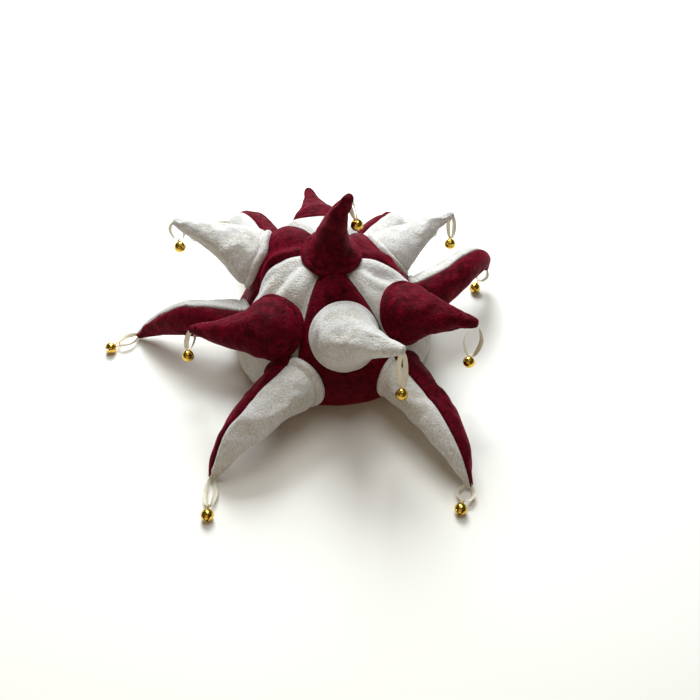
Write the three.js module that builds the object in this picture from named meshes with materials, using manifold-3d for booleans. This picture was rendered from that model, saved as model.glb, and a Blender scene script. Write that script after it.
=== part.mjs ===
// A soft two-colour jester hat: a crown of six sewn panels, a stuffed point on each panel, a spike on top,
// and six longer two-colour horns round the rim. Each tip carries a ribbon loop and a small bell.
// Millimetres, +Z up. The origin is the centre of the head opening, in the plane that the rim rests on.
// A turn is an angle round the crown in degrees, 0 at the front (-Y) and growing towards +X.

import * as THREE from "three";
import { mergeVertices } from "three/addons/utils/BufferGeometryUtils.js";
import Module from "manifold-3d";

// Crown
const PANELS = 6;
const PANEL_TURN = 11; // turn of the middle of the front panel
const RIM_RADIUS = 97; // outside of the cloth at the rim
const WAIST_RADIUS = 100; // outside of the cloth at its widest
const WAIST_HEIGHT = 22;
const CROWN_HEIGHT = 121;
const CROWN_FULLNESS = 1.98; // 2 is an ellipse, more is squarer at the shoulder
const CLOTH = 3; // lined and padded velour
const PANEL_PUFF = 4; // how far a panel swells between its seams
const PUFF_AT_RIM = 0.35; // share of it that is left at the rim
const PUFF_ROUNDNESS = 2.4; // 2 is a plain arch from seam to seam, more keeps full until near the seams
const PUFF_RISE = 0.6; // under 1 fills out sooner above the rim
const PUFF_END = 12; // more keeps the swell and the folds up to nearer the top
const FOLD_DEPTH = 10; // of the deepest lumps and hollows in the cloth
const SEAM_TWIST = 8; // degrees that the seams wind round the crown between the rim and the top
const TOP_HOLE = 8; // radius left open below the spike, where the panels' tips are sewn together
const SEAM_GAP = 0.3;
const CLEARANCE = 0.35; // between the crown and what is sewn on it

// Points and spike
const POINT_RADIUS = 29;
const POINT_LENGTH = 80; // level way from the crown's widest to a tip
const POINT_BEND = 0.5; // where a point bends, as a share of the straight way to its tip
const SPIKE_RADIUS = 28;
const SPIKE_HEIGHT = 78; // of its tip above the crown
const SPIKE_LEAN = 0.264; // how far its tip leans over, as a share of its height
const SPIKE_TURN = 61; // turn that it leans to
const BASE_SINK = 14; // how far a base runs into the crown before it is trimmed to it

// Horns round the rim
const HORN_RADIUS = 25;
const HORN_LENGTH = 120; // level way from the crown's widest to a tip
const HORN_ROOT = 0.44; // share of the way to its tip over which a horn keeps the direction that it starts in
const HORN_END = 0.37; // the same at its tip
const HORN_SEAM_EDGE = 1.2; // flat edge where the two halves are sewn together

// Ribbons and bells
const RIBBON_WIDTH = 5;
const RIBBON_THICK = 0.5;
const RIBBON_STRAND = 52; // from a tip to the foot of its loop, pulled straight
const RIBBON_SEWN = 2.5; // how far a ribbon's ends run back inside a tip before they are trimmed to it
const BELL_RADIUS = 5.8;
const BELL_WALL = 0.9;
const BELL_SLOT = 1.4;
const BELL_SLOT_SPAN = 1.3; // how far a slot runs across the bell's foot, as a share of BELL_RADIUS
const BELL_SLOT_TOP = 0.35; // how far below the bell's middle a slot ends, as a share of BELL_RADIUS
const SHANK_RADIUS = 2.5; // middle of the wire
const SHANK_WIRE = 0.45; // radius of the wire
const DROP_GAP = 0.6; // between a ribbon and its shank

// Fineness of the faceted solids
const PANEL_ACROSS = 6;
const PANEL_UP = 10;
const POINT_SIDES = 12;
const HORN_ARC = 5;
const BELL_SIDES = 10;
const BELL_RINGS = 5;
const HOLLOW_RINGS = 3;
const WIRE_SIDES = 4;
const SMOOTHED = 0.2; // flat neighbours are joined where that moves them less than this
const FINE_SMOOTHED = 0.05; // the same on the small pieces

const RED = { color: 0x6d0a24, roughness: 0.75, metalness: 0 };
const WHITE = { color: 0xdad9d8, roughness: 0.8, metalness: 0 };
const CREAM = { color: 0xcdbf9c, roughness: 0.45, metalness: 0 };
const BRASS = { color: 0xd9a520, roughness: 0.22, metalness: 1 };

// Soft lumps and hollows of the crown's cloth. turn and across are in degrees, height and up are shares of
// CROWN_HEIGHT, and swell is a share of FOLD_DEPTH, negative for a hollow.
const CROWN_FOLDS = [
  { turn: 5, height: 0.0, across: 42, up: 0.24, swell: -0.95 },
  { turn: 236, height: 0.9, across: 34, up: 0.2, swell: 1.5 },
  { turn: 190, height: 0.82, across: 32, up: 0.2, swell: 0.8 },
  { turn: 278, height: 0.92, across: 17, up: 0.14, swell: 0.7 },
  { turn: 258, height: 0.9, across: 9, up: 0.08, swell: -0.55 },
  { turn: 262, height: 0.52, across: 24, up: 0.22, swell: -1.1 },
  { turn: 122, height: 0.62, across: 28, up: 0.27, swell: -1.4 },
  { turn: 284, height: 0.72, across: 9, up: 0.2, swell: -0.4 },
  { turn: 316, height: 0.9, across: 12, up: 0.1, swell: 0.35 },
  { turn: 330, height: 0.76, across: 8, up: 0.12, swell: -0.35 },
  { turn: 12, height: 0.96, across: 18, up: 0.05, swell: 0.5 },
  { turn: 12, height: 0.87, across: 14, up: 0.05, swell: -0.45 },
  { turn: 62, height: 0.9, across: 12, up: 0.08, swell: -0.3 },
  { turn: 84, height: 0.86, across: 12, up: 0.12, swell: 0.3 },
];

// Sections of a stuffed point, of the spike and of a horn: along is a share of the length, and size a share
// of the radius.
const POINT_SECTIONS = [
  { along: -0.12, size: 0.97 },
  { along: 0.09, size: 1.0 },
  { along: 0.27, size: 0.86 },
  { along: 0.46, size: 0.63 },
  { along: 0.65, size: 0.45 },
  { along: 0.82, size: 0.29 },
  { along: 0.95, size: 0.2 },
  { along: 1.0, size: 0.1 },
];
const SPIKE_SECTIONS = [
  { along: -0.12, size: 0.98 },
  { along: 0.13, size: 0.97 },
  { along: 0.22, size: 0.7 },
  { along: 0.4, size: 0.54 },
  { along: 0.6, size: 0.4 },
  { along: 0.8, size: 0.27 },
  { along: 0.95, size: 0.18 },
  { along: 1.0, size: 0.1 },
];
const HORN_SECTIONS = [
  { along: -0.1, size: 0.97 },
  { along: 0.08, size: 1.0 },
  { along: 0.28, size: 0.86 },
  { along: 0.48, size: 0.78 },
  { along: 0.68, size: 0.62 },
  { along: 0.85, size: 0.41 },
  { along: 0.96, size: 0.23 },
  { along: 1.0, size: 0.12 },
];

// Where each stuffed point sits, in the panels' order. shift is how far the middle of its base is off its
// panel's middle, and height is that of its base as a share of CROWN_HEIGHT. It leaves the crown turned by
// lean from straight outwards and rising by rise. girth is a share of POINT_RADIUS.
const POINTS = [
  { name: "front", shift: -1, height: 0.72, lean: 4, rise: 42, girth: 1.07 },
  { name: "front_right", shift: -10, height: 0.68, lean: -5, rise: 29, girth: 1 },
  { name: "back_right", shift: 0, height: 0.68, lean: 8, rise: 4, girth: 0.92 },
  { name: "back", shift: -1, height: 0.67, lean: -2, rise: -8, girth: 0.95 },
  { name: "back_left", shift: -4, height: 0.71, lean: 5, rise: 22, girth: 1 },
  { name: "front_left", shift: 7, height: 0.69, lean: 6, rise: 30, girth: 1.02 },
];

// Their tips: turn, out as a share of POINT_LENGTH beyond the crown's widest, up as a share of CROWN_HEIGHT.
const POINT_TIPS = [
  { turn: 27.6, out: 0.46, up: 1.01 },
  { turn: 63.5, out: 0.625, up: 0.81 },
  { turn: 126.3, out: 0.675, up: 0.777 },
  { turn: 190.7, out: 0.54, up: 0.71 },
  { turn: 249.6, out: 0.825, up: 0.934 },
  { turn: 296.2, out: 0.54, up: 0.71 },
];

// The same for the horn on the seam after each panel. twist turns the seam between its halves off the top.
const HORNS = [
  { name: "front_right", height: 0.3, lean: -5, rise: 0, twist: -7, girth: 1 },
  { name: "right", height: 0.38, lean: 4, rise: 24, twist: 3, girth: 0.92 },
  { name: "back_right", height: 0.34, lean: -15, rise: 4, twist: 10, girth: 1 },
  { name: "back_left", height: 0.364, lean: -12, rise: 12, twist: 2, girth: 1 },
  { name: "left", height: 0.355, lean: -12, rise: 20, twist: 8, girth: 0.96 },
  { name: "front_left", height: 0.347, lean: -14, rise: 18, twist: -12, girth: 1.08 },
];

// Their tips: turn, out as a share of HORN_LENGTH beyond the crown's widest, up as a share of HORN_RADIUS.
// toe turns the end off straight outwards, and fall is its slope there.
const HORN_TIPS = [
  { turn: 35, out: 1.01, up: 0.2, toe: -8, fall: 50 },
  { turn: 117.7, out: 0.733, up: 0.88, toe: 0, fall: 72 },
  { turn: 156, out: 0.767, up: 0.2, toe: -2, fall: 46 },
  { turn: 213.6, out: 0.975, up: 0.2, toe: 7, fall: 40 },
  { turn: 269, out: 0.85, up: 0.2, toe: 6, fall: 34 },
  { turn: 328, out: 0.858, up: 0.2, toe: -4, fall: 49 },
];

// How each loop hangs or lies from its tip: span is the way to its foot as a share of RIBBON_STRAND, lie and
// dip are the heading and the slope of that way, and open is the turn that the loop opens to. loose is half
// the width that it hangs open, as a share of RIBBON_STRAND.
const POINT_DROPS = [
  { span: 0.995, lie: 90, dip: 88, open: 50, loose: 0.06 },
  { span: 0.874, lie: 270, dip: 88.6, open: 75, loose: 0.13 },
  { span: 0.611, lie: 90, dip: 88.4, open: 35, loose: 0.07 },
  { span: 0.71, lie: 100, dip: 88, open: 190, loose: 0.1 },
  { span: 0.48, lie: 270, dip: 90, open: 260, loose: 0.12 },
  { span: 0.574, lie: 270, dip: 76.8, open: 300, loose: 0.06 },
];
const SPIKE_DROP = { span: 0.641, lie: 146, dip: 73.4, open: 40, loose: 0.06 };
const HORN_DROPS = [
  { span: 0.364, lie: 340, dip: 0, open: 70, loose: 0.12 },
  { span: 0.307, lie: 322, dip: 42, open: 52, loose: 0.1 },
  { span: 0.518, lie: 88, dip: 0, open: 178, loose: 0.12 },
  { span: 0.672, lie: 290, dip: 0, open: 20, loose: 0.1 },
  { span: 0.443, lie: 306, dip: 0, open: 36, loose: 0.1 },
  { span: 0.626, lie: 359, dip: 0, open: 89, loose: 0.07 },
];

// One side of a ribbon loop, from the tip to where it turns round the bell's shank: down is a share of the
// way to the foot of the loop, apart a share of how wide the loop hangs open, wide a share of RIBBON_WIDTH.
const LOOP = [
  { down: 0.12, apart: 0.35, wide: 0.85 },
  { down: 0.5, apart: 1.0, wide: 1.0 },
  { down: 0.86, apart: 0.6, wide: 0.8 },
  { down: 0.975, apart: 0.2, wide: 0.32 },
];
const LOOP_ENDS = 0.9; // half the distance between the ribbon's ends in the tip's seam

const PANEL_ARC = 360 / PANELS;
const WAIST_SHARE = 2 / PANEL_UP; // of the way from the rim to the top
const BELL_MIDDLE = 2 * SHANK_RADIUS + BELL_RADIUS - SHANK_WIRE; // from the middle of its wire's crown
const FOOT_TO_BELL = BELL_MIDDLE - SHANK_WIRE - DROP_GAP - RIBBON_THICK / 2;
const SLIGHT = 1e-4; // shares closer than this are the same

const wasm = await Module();
wasm.setup();

const radians = THREE.MathUtils.degToRad;
const UP = new THREE.Vector3(0, 0, 1);

// A point at a radius from the crown's axis, a turn round it and a height.
function around(radius, turn, height) {
  const angle = radians(turn);
  return new THREE.Vector3(radius * Math.sin(angle), -radius * Math.cos(angle), height);
}

// A unit vector with a heading round the axis and a pitch above the horizon.
function heading(turn, pitch) {
  const level = around(Math.cos(radians(pitch)), turn, 0);
  return level.setZ(Math.sin(radians(pitch)));
}

// A closed three.js geometry, with its points moved by a function of their first place.
function shaped(geometry, place) {
  geometry.deleteAttribute("normal");
  geometry.deleteAttribute("uv");
  const made = mergeVertices(geometry, SLIGHT);
  const at = made.getAttribute("position");
  for (let i = 0; i < at.count; i++) {
    const p = place(new THREE.Vector3().fromBufferAttribute(at, i));
    at.setXYZ(i, p.x, p.y, p.z);
  }
  return made;
}

// A geometry as a solid for cuts and joins, with its faces turned outwards.
function solid(geometry) {
  const index = new Uint32Array(geometry.index.array);
  const at = geometry.getAttribute("position");
  const [a, b, c] = [0, 1, 2].map(() => new THREE.Vector3());
  let volume = 0;
  for (let i = 0; i < index.length; i += 3) {
    [a, b, c].forEach((corner, k) => corner.fromBufferAttribute(at, index[i + k]));
    volume += a.dot(b.cross(c));
  }
  if (volume < 0) index.reverse();
  return new wasm.Manifold(
    new wasm.Mesh({ numProp: 3, vertProperties: new Float32Array(at.array), triVerts: index }),
  );
}

// A solid's faces as a named, coloured mesh.
function piece(name, made, finish) {
  const { vertProperties, triVerts } = made.getMesh();
  const geometry = new THREE.BufferGeometry();
  geometry.setAttribute("position", new THREE.BufferAttribute(vertProperties, 3));
  geometry.setIndex(new THREE.BufferAttribute(triVerts, 1));
  geometry.computeVertexNormals();
  const mesh = new THREE.Mesh(geometry, new THREE.MeshStandardMaterial(finish));
  mesh.name = name;
  return mesh;
}

// The crown's outline from the rim, share 0, to the top, share 1, as a radius and a height.
function outline(share) {
  if (share <= WAIST_SHARE) {
    const rise = share / WAIST_SHARE;
    const swell = (WAIST_RADIUS - RIM_RADIUS) * Math.sin((rise * Math.PI) / 2);
    return new THREE.Vector2(RIM_RADIUS + swell, WAIST_HEIGHT * rise);
  }
  const angle = (((share - WAIST_SHARE) / (1 - WAIST_SHARE)) * Math.PI) / 2;
  const power = 2 / CROWN_FULLNESS;
  return new THREE.Vector2(
    Math.max(WAIST_RADIUS * Math.max(Math.cos(angle), 0) ** power, TOP_HOLE),
    WAIST_HEIGHT + (CROWN_HEIGHT - WAIST_HEIGHT) * Math.sin(angle) ** power,
  );
}

// The outward direction at a share of the outline, level at the rim and straight up at the top.
function outwards(share) {
  if (share <= 0) return new THREE.Vector2(1, 0);
  if (share >= 1) return new THREE.Vector2(0, 1);
  const STEP = 0.02;
  const along = outline(Math.min(share + STEP, 1)).sub(outline(Math.max(share - STEP, 0)));
  return new THREE.Vector2(along.y, -along.x).normalize();
}

// How far the cloth stands off the plain outline. across runs from 0 to 1 between two seams.
function swelling(turn, share, across) {
  const between = 1 - Math.abs(2 * across - 1) ** PUFF_ROUNDNESS;
  const upright = PUFF_AT_RIM + (1 - PUFF_AT_RIM) * Math.sin(Math.PI * share) ** PUFF_RISE;
  const height = outline(share).y / CROWN_HEIGHT;
  let folds = 0;
  for (const fold of CROWN_FOLDS) {
    const off = THREE.MathUtils.euclideanModulo(turn - fold.turn + 180, 360) - 180;
    folds += fold.swell * Math.exp(-((off / fold.across) ** 2) - ((height - fold.height) / fold.up) ** 2);
  }
  const fade = 1 - share ** PUFF_END;
  return (PANEL_PUFF * between * upright + FOLD_DEPTH * folds) * fade;
}

// A point of the crown, off millimetres outside the cloth's outer face. panels counts from the seam before
// the front panel, and its whole part is the number of the panel.
function crownPoint(panels, share, off) {
  const turn = PANEL_TURN + (panels - 0.5) * PANEL_ARC - SEAM_TWIST * share ** 2;
  const stand = swelling(turn, share, panels - Math.floor(panels)) + off;
  const at = outline(share).addScaledVector(outwards(share), stand);
  return around(Math.max(at.x, TOP_HOLE / 2), turn, share <= 0 ? 0 : at.y);
}

// A point of the crown at a turn and near a height.
function crownSpot(turn, height, off) {
  const share = shareAt(height);
  return crownPoint((turn - PANEL_TURN + SEAM_TWIST * share ** 2) / PANEL_ARC + 0.5, share, off);
}

// One sewn panel, whose sides stay half a gap from the seams.
function crownPanel(number) {
  return solid(
    shaped(new THREE.BoxGeometry(1, 1, 1, PANEL_ACROSS, PANEL_UP, 1), (p) => {
      const share = p.y + 0.5;
      const across = THREE.MathUtils.clamp(p.x + 0.5, 0, 1 - SLIGHT);
      const at = crownPoint(number + across, share, p.z > 0 ? 0 : -CLOTH);
      const side = new THREE.Vector3(-at.y, at.x, 0).normalize();
      return at.addScaledVector(side, -p.x * SEAM_GAP);
    }),
  );
}

// The space that the crown takes, with a clearance round it, for trimming what is sewn on.
function crownSpace() {
  return solid(
    shaped(new THREE.CylinderGeometry(1, 1, 1, PANELS * PANEL_ACROSS, PANEL_UP), (p) => {
      const share = p.y + 0.5;
      if (Math.hypot(p.x, p.z) < 0.5) return new THREE.Vector3(0, 0, share * (CROWN_HEIGHT + CLEARANCE));
      const panels = (Math.atan2(p.x, p.z) / (2 * Math.PI)) * PANELS;
      return crownPoint(Math.round(panels * PANEL_ACROSS) / PANEL_ACROSS, share, CLEARANCE);
    }),
  );
}

// The share of the outline at a height.
function shareAt(height) {
  let [low, high] = [0, 1];
  while (high - low > SLIGHT) {
    const middle = (low + high) / 2;
    if (outline(middle).y < height) low = middle;
    else high = middle;
  }
  return low;
}

// A place along a curve, beyond its ends in a straight line, and the directions across it there.
function frameAt(curve, along) {
  const near = THREE.MathUtils.clamp(along, 0, 1);
  const ahead = curve.getTangentAt(near);
  const at = curve.getPointAt(near).addScaledVector(ahead, (along - near) * curve.getLength());
  const side = new THREE.Vector3().crossVectors(ahead, UP).normalize();
  return { at, ahead, side, over: new THREE.Vector3().crossVectors(side, ahead) };
}

// Round sections along a curve, grown by a clearance all round and at the tip.
function roundSections(curve, sections, widest, grown) {
  const last = sections.length - 1;
  const body = new THREE.CylinderGeometry(1, 1, 1, POINT_SIDES, last);
  return solid(
    shaped(body, (p) => {
      const number = Math.round((p.y + 0.5) * last);
      const row = sections[number];
      const { at, ahead, side, over } = frameAt(curve, row.along);
      if (number === last) at.addScaledVector(ahead, grown);
      const radius = widest * row.size + grown;
      return at.addScaledVector(side, p.x * radius).addScaledVector(over, p.z * radius);
    }),
  );
}

// A stuffed point, trimmed to the crown.
function stuffedPoint(curve, sections, widest, space) {
  return roundSections(curve, sections, widest, 0).subtract(space).simplify(SMOOTHED);
}

// One half of a horn, on the side given as 1 or -1: round sections with a flat face, half a gap off the seam.
function hornHalf(curve, widest, twist, half, space) {
  const last = HORN_SECTIONS.length - 1;
  const corners = HORN_ARC + 3;
  const body = shaped(new THREE.CylinderGeometry(1, 1, 1, corners, last), (p) => {
    const row = HORN_SECTIONS[Math.round((p.y + 0.5) * last)];
    const { at, ahead, side, over } = frameAt(curve, row.along);
    const radius = widest * row.size;
    const edge = Math.min(HORN_SEAM_EDGE, radius / 3);
    const corner = Math.round(((Math.atan2(p.x, p.z) / (2 * Math.PI) + 1) % 1) * corners);
    const bow = Math.PI * THREE.MathUtils.clamp((corner - 1) / HORN_ARC, 0, 1);
    const onFlat = corner === 0 || corner === corners - 1;
    const middle = Math.hypot(p.x, p.z) < 0.5;
    const out = onFlat ? 0 : edge + (radius - edge) * Math.sin(bow);
    const from = side.multiplyScalar(half * (SEAM_GAP / 2 + (middle ? radius / 2 : out)));
    if (!middle) from.addScaledVector(over, radius * Math.cos(bow));
    return at.add(from.applyAxisAngle(ahead, radians(twist)));
  });
  return solid(body).subtract(space).simplify(SMOOTHED);
}

// The curve of a point, which leaves the crown one way and bends to its tip.
function pointCurve(base, start, tip) {
  const bend = base.clone().addScaledVector(start, base.distanceTo(tip) * POINT_BEND);
  return new THREE.QuadraticBezierCurve3(base, bend, tip);
}

// The curve of a horn, which leaves the crown one way and comes down on the surface in another.
function hornCurve(base, start, end, tip) {
  const reach = base.distanceTo(tip);
  const from = base.clone().addScaledVector(start, reach * HORN_ROOT);
  const to = tip.clone().addScaledVector(end, -reach * HORN_END);
  return new THREE.CubicBezierCurve3(base, from, to, tip);
}

// A ribbon loop, trimmed to its tip, and its bell, from a row of the drops.
function drop(name, curve, tipSpace, row) {
  const ahead = heading(row.lie, -row.dip);
  const across = heading(row.open, 0);
  across.addScaledVector(ahead, -across.dot(ahead)).normalize();
  const wide = new THREE.Vector3().crossVectors(ahead, across);
  const tip = curve.getPoint(1);
  const bellAt = tip.clone().addScaledVector(ahead, row.span * RIBBON_STRAND + FOOT_TO_BELL);
  bellAt.z = Math.max(bellAt.z, BELL_RADIUS);
  const shankAt = bellAt.clone().addScaledVector(ahead, -BELL_MIDDLE);
  const foot = bellAt.clone().addScaledVector(ahead, -FOOT_TO_BELL);
  const hang = row.loose * RIBBON_STRAND;
  const spot = (r, sign) =>
    tip.clone().lerp(foot, r.down).addScaledVector(across, sign * (LOOP_ENDS + r.apart * hang));
  const sewn = (sign) =>
    tip.clone().addScaledVector(curve.getTangent(1), -RIBBON_SEWN).addScaledVector(across, sign * LOOP_ENDS);
  const back = LOOP.toReversed();
  const [out, home] = [LOOP.map((r) => spot(r, -1)), back.map((r) => spot(r, 1))];
  const route = [sewn(-1), ...out, foot, ...home, sewn(1)];
  const rows = [LOOP[0], ...LOOP, back[0], ...back, LOOP[0]];
  const loop = new THREE.CatmullRomCurve3(route);
  const last = route.length - 1;
  const ribbon = shaped(new THREE.BoxGeometry(1, 1, 1, 1, last, 1), (p) => {
    const along = p.y + 0.5;
    const inward = new THREE.Vector3().crossVectors(loop.getTangent(along), wide).normalize();
    const at = loop.getPoint(along).addScaledVector(inward, p.z * RIBBON_THICK);
    return at.addScaledVector(wide, p.x * rows[Math.round(along * last)].wide * RIBBON_WIDTH);
  });
  const bell = piece(`bell_${name}`, bellSolid, BRASS);
  bell.applyMatrix4(new THREE.Matrix4().makeBasis(across, wide.negate(), ahead.negate()).setPosition(shankAt));
  const trimmed = solid(ribbon).subtract(tipSpace).simplify(FINE_SMOOTHED);
  return [piece(`ribbon_${name}`, trimmed, CREAM), bell];
}

// A hollow bell below its wire shank, with two slots crossing at its foot. The middle of the wire's crown is
// at the origin, the shank's hole lies along X and the bell hangs down -Z.
function jingleBell() {
  const ball = (radius, rings) =>
    solid(
      shaped(
        new THREE.SphereGeometry(radius, BELL_SIDES, rings),
        (p) => new THREE.Vector3(p.x, -p.z, p.y - BELL_MIDDLE),
      ),
    );
  const wire = shaped(
    new THREE.TorusGeometry(SHANK_RADIUS, SHANK_WIRE, WIRE_SIDES, BELL_SIDES),
    (p) => new THREE.Vector3(p.z, p.x, p.y - SHANK_RADIUS),
  );
  let bell = ball(BELL_RADIUS, BELL_RINGS).add(solid(wire));
  bell = bell.subtract(ball(BELL_RADIUS - BELL_WALL, HOLLOW_RINGS));
  for (const turn of [Math.PI / 4, -Math.PI / 4]) {
    const slot = new THREE.BoxGeometry(BELL_SLOT, BELL_RADIUS * BELL_SLOT_SPAN, BELL_RADIUS);
    slot.translate(0, 0, -BELL_MIDDLE - BELL_RADIUS * (BELL_SLOT_TOP + 0.5)).rotateZ(turn);
    bell = bell.subtract(solid(shaped(slot, (p) => p)));
  }
  return bell.simplify(FINE_SMOOTHED);
}

const hat = new THREE.Group();
const space = crownSpace();
const bellSolid = jingleBell();

POINTS.forEach((row, number) => {
  const [cloth, other] = number % 2 ? [WHITE, RED] : [RED, WHITE];
  const turn = PANEL_TURN + number * PANEL_ARC + row.shift;
  const end = POINT_TIPS[number];
  const base = crownSpot(turn, row.height * CROWN_HEIGHT, -BASE_SINK / 2);
  const tip = around(WAIST_RADIUS + end.out * POINT_LENGTH, end.turn, end.up * CROWN_HEIGHT);
  const curve = pointCurve(base, heading(turn + row.lean, row.rise), tip);
  const widest = POINT_RADIUS * row.girth;
  const tipSpace = roundSections(curve, POINT_SECTIONS, widest, CLEARANCE);
  hat.add(piece(`panel_${row.name}`, crownPanel(number), cloth));
  hat.add(piece(`point_${row.name}`, stuffedPoint(curve, POINT_SECTIONS, widest, space), other));
  hat.add(...drop(`point_${row.name}`, curve, tipSpace, POINT_DROPS[number]));
});

const spikeTip = around(SPIKE_HEIGHT * SPIKE_LEAN, SPIKE_TURN, CROWN_HEIGHT + SPIKE_HEIGHT);
const spikeBase = new THREE.Vector3(0, 0, CROWN_HEIGHT - BASE_SINK / 2);
const spikeCurve = pointCurve(spikeBase, UP, spikeTip);
const spikeSpace = roundSections(spikeCurve, SPIKE_SECTIONS, SPIKE_RADIUS, CLEARANCE);
hat.add(piece("spike_top", stuffedPoint(spikeCurve, SPIKE_SECTIONS, SPIKE_RADIUS, space), RED));
hat.add(...drop("spike_top", spikeCurve, spikeSpace, SPIKE_DROP));

HORNS.forEach((row, number) => {
  const [before, after] = number % 2 ? ["red", "white"] : ["white", "red"];
  const finish = { red: RED, white: WHITE };
  const turn = PANEL_TURN + (number + 0.5) * PANEL_ARC;
  const end = HORN_TIPS[number];
  const base = crownSpot(turn, row.height * CROWN_HEIGHT, -BASE_SINK / 2);
  const tip = around(WAIST_RADIUS + end.out * HORN_LENGTH, end.turn, end.up * HORN_RADIUS);
  const start = heading(turn + row.lean, row.rise);
  const curve = hornCurve(base, start, heading(end.turn + end.toe, -end.fall), tip);
  const widest = HORN_RADIUS * row.girth;
  const tipSpace = roundSections(curve, HORN_SECTIONS, widest, CLEARANCE);
  hat.add(piece(`horn_${row.name}_${before}`, hornHalf(curve, widest, row.twist, 1, space), finish[before]));
  hat.add(piece(`horn_${row.name}_${after}`, hornHalf(curve, widest, row.twist, -1, space), finish[after]));
  hat.add(...drop(`horn_${row.name}`, curve, tipSpace, HORN_DROPS[number]));
});

export default hat;
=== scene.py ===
"""A stuffed velour jester hat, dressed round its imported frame, on a plain pale floor."""

from math import atan2, cos, degrees, exp, hypot, pi, radians, sin, tau
from types import SimpleNamespace

import bmesh
import bpy
from bpy.props import FloatProperty, FloatVectorProperty, IntProperty, PointerProperty
from mathutils import Matrix, Quaternion, Vector, noise
from mathutils.bvhtree import BVHTree


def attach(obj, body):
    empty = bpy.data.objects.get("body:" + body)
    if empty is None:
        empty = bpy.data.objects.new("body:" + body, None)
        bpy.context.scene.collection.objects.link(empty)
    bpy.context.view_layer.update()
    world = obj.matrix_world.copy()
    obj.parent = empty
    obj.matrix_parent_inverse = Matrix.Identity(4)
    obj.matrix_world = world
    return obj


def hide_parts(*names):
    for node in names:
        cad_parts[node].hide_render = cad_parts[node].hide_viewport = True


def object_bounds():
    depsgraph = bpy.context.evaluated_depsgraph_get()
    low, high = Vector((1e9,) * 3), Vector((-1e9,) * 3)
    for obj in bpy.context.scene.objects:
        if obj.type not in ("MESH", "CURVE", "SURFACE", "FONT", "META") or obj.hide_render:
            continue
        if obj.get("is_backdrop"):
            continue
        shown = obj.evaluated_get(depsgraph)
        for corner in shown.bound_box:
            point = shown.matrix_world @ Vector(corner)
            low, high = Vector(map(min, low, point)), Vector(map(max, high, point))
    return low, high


bl_info = {
    "name": "Jester hat",
    "version": (1, 0, 0),
    "blender": (4, 5, 0),
    "location": "3D View > Sidebar > Jester hat",
    "description": "Dresses the frame of a jester hat with velour, ribbons and bells",
    "category": "Object",
}

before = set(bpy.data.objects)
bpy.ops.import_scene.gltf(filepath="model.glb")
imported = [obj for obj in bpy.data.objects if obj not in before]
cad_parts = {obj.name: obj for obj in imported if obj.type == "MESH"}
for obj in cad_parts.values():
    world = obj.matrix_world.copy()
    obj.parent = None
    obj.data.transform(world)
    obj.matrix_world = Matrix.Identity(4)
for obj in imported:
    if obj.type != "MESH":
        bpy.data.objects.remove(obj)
CAD_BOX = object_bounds()

UP = Vector((0, 0, 1))
LEVEL = Vector((1, 1, 0))
PANELS = ("front", "front_right", "back_right", "back", "back_left", "front_left")
PANEL_ARC = 360 / len(PANELS)
CLOTHS = ("maroon_velour", "white_velour")

# Small amounts that keep a share short of the next panel, merge doubles and keep divisors off zero.
EDGE = 1e-6
TINY = 1e-9

# Soft lumps and hollows of the crown. turn and across are in degrees, height and up are shares of the
# crown's height, and swell is a share of the fold depth, negative for a hollow.
CROWN_FOLDS = (
    (5, 0.0, 42, 0.24, -0.95),
    (236, 0.9, 34, 0.2, 1.5),
    (190, 0.82, 32, 0.2, 0.8),
    (278, 0.92, 17, 0.14, 0.7),
    (258, 0.9, 9, 0.08, -0.55),
    (262, 0.52, 24, 0.22, -1.1),
    (122, 0.62, 28, 0.27, -1.4),
    (284, 0.72, 9, 0.2, -0.4),
    (316, 0.9, 12, 0.1, 0.35),
    (330, 0.76, 8, 0.12, -0.35),
    (12, 0.96, 18, 0.05, 0.5),
    (12, 0.87, 14, 0.05, -0.45),
    (62, 0.9, 12, 0.08, -0.3),
    (84, 0.86, 12, 0.12, 0.3),
)

# Creases that are finer than the frame's: the two ends of each as a turn and a share of the crown's height,
# its width in degrees, and its swell as a share of the fold depth.
CROWN_CREASES = (
    (306, 0.93, 322, 0.66, 4.5, 0.28),
    (300, 0.9, 312, 0.68, 4.0, -0.3),
    (292, 0.86, 300, 0.66, 3.2, 0.2),
    (318, 0.9, 330, 0.7, 3.2, -0.16),
    (333, 0.94, 328, 0.62, 4.0, -0.2),
    (352, 0.93, 30, 0.9, 5.0, 0.3),
    (356, 0.86, 22, 0.84, 4.5, -0.32),
    (256, 0.95, 286, 0.8, 5.0, 0.25),
    (262, 0.86, 282, 0.7, 3.5, -0.25),
    (232, 0.9, 262, 0.82, 5.0, -0.2),
    (52, 0.95, 70, 0.82, 4.5, 0.22),
    (60, 0.95, 82, 0.8, 4.0, -0.22),
    (108, 0.9, 118, 0.7, 5.0, 0.22),
    (170, 0.88, 176, 0.66, 5.0, -0.22),
    (205, 0.86, 222, 0.72, 5.0, 0.2),
)

# Sections of a stuffed point, of the spike and of a horn: a share of the length and one of the radius.
POINT_SECTIONS = (
    *((-0.12, 0.97), (0.09, 1.0), (0.27, 0.86), (0.46, 0.63)),
    *((0.65, 0.45), (0.82, 0.29), (0.95, 0.2), (1.0, 0.15)),
)
SPIKE_SECTIONS = (
    *((-0.12, 0.98), (0.13, 0.97), (0.22, 0.72), (0.4, 0.54)),
    *((0.6, 0.4), (0.8, 0.27), (0.95, 0.18), (1.0, 0.14)),
)
HORN_SECTIONS = (
    *((-0.1, 0.97), (0.08, 1.0), (0.28, 0.86), (0.48, 0.78)),
    *((0.68, 0.62), (0.85, 0.41), (0.96, 0.23), (1.0, 0.16)),
)

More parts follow.
